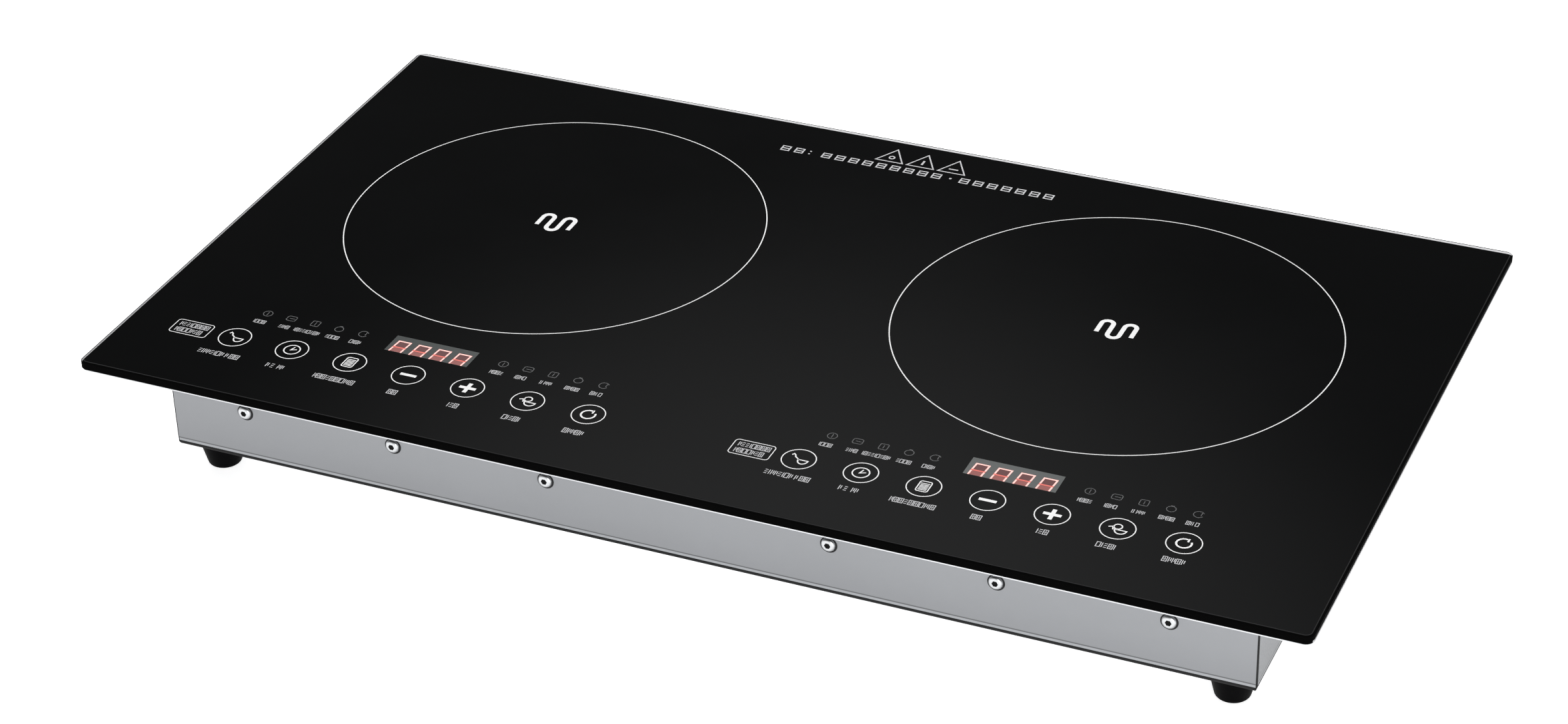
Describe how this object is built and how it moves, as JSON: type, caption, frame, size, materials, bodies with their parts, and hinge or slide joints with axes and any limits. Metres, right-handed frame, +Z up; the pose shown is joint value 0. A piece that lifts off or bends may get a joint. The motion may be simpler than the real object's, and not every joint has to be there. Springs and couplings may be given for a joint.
{
  "type": "induction cooktop",
  "caption": "Two-zone electric induction cooktop: black glass plate with touch controls on a shallow folded steel case with feet, coils and fans inside.",
  "frame": {"origin": "centre of the footprint, on the surface the feet stand on", "axes": "+X to the right along the front edge, +Y to the back, +Z up"},
  "size_m": [0.71, 0.4, 0.085],
  "materials": {
    "case_steel": "satin grey coating",
    "screw_steel": "bright plated",
    "gland_plastic": "black nylon",
    "former_plastic": "glass-filled black plastic",
    "copper_litz": "varnished copper strands",
    "spring_steel": "spring wire",
    "circuit_board": "green solder mask",
    "carrier_plastic": "natural moulded plastic",
    "fan_plastic": "black moulded plastic",
    "shaft_steel": "ground",
    "stator_winding": "enamelled copper on laminated steel",
    "ferrite": "sintered ferrite",
    "capacitor_plastic": "moulded film capacitor",
    "choke_winding": "enamelled copper on a powder core",
    "foot_rubber": "matte black",
    "silicone": "matte",
    "frame_steel": "galvanised sheet",
    "glass_plate": "polished black glass ceramic, opaque",
    "heat_sink_aluminium": "extruded",
    "led_lens": "tinted lens",
    "display_plastic": "black moulded display",
    "wire_insulation": "insulated wire",
    "mica": "pressed mica",
    "sensor_white": "white ceramic and silicone",
    "device_black": "moulded epoxy",
    "ribbon_insulation": "grey flat cable",
    "terminal_plastic": "white nylon"
  },
  "bodies": {
    "housing": {"base_tray": "case_steel", "board_screws": "screw_steel", "cable_gland": "gland_plastic", "coil_former_left": "former_plastic", "coil_former_right": "former_plastic", "coil_leads_left": "copper_litz", "coil_leads_right": "copper_litz", "coil_posts": "screw_steel", "coil_springs_left": "spring_steel", "coil_springs_right": "spring_steel", "coil_winding_left": "copper_litz", "coil_winding_right": "copper_litz", "control_board_left": "circuit_board", "control_board_right": "circuit_board", "control_carrier_left": "carrier_plastic", "control_carrier_right": "carrier_plastic", "fan_frame_left": "fan_plastic", "fan_frame_right": "fan_plastic", "fan_screws": "screw_steel", "fan_stator_left": "stator_winding", "fan_stator_right": "stator_winding", "ferrite_bars_left": "ferrite", "ferrite_bars_right": "ferrite", "film_capacitors_left": "capacitor_plastic", "film_capacitors_right": "capacitor_plastic", "filter_choke_left": "choke_winding", "filter_choke_right": "choke_winding", "foot_front_left": "foot_rubber", "foot_front_right": "foot_rubber", "foot_rear_left": "foot_rubber", "foot_rear_right": "foot_rubber", "foot_screws": "screw_steel", "frame_screws": "screw_steel", "gland_nut": "gland_plastic", "glass_adhesive": "silicone", "glass_frame": "frame_steel", "glass_top": "glass_plate", "heat_sink_left": "heat_sink_aluminium", "heat_sink_right": "heat_sink_aluminium", "indicator_leds_left": "led_lens", "indicator_leds_right": "led_lens", "led_display_left": "display_plastic", "led_display_right": "display_plastic", "mains_wires": "wire_insulation", "mica_disc_left": "mica", "mica_disc_right": "mica", "pan_sensor_left": "sensor_white", "pan_sensor_right": "sensor_white", "power_board_left": "circuit_board", "power_board_right": "circuit_board", "power_transistors_left": "device_black", "power_transistors_right": "device_black", "ribbon_cables": "ribbon_insulation", "terminal_block": "terminal_plastic", "touch_springs_left": "spring_steel", "touch_springs_right": "spring_steel"},
    "fan_left": {"fan_rotor_left": "fan_plastic", "fan_shaft_left": "shaft_steel"},
    "fan_right": {"fan_rotor_right": "fan_plastic", "fan_shaft_right": "shaft_steel"}
  },
  "joints": [
    {"name": "fan_left_spin", "type": "hinge", "parent": "housing", "child": "fan_left", "pos_m": [-0.258, 0.093, 0.0325], "axis": [0, 0, 1], "continuous": true},
    {"name": "fan_right_spin", "type": "hinge", "parent": "housing", "child": "fan_right", "pos_m": [0.258, 0.093, 0.0325], "axis": [0, 0, 1], "continuous": true}
  ]
}
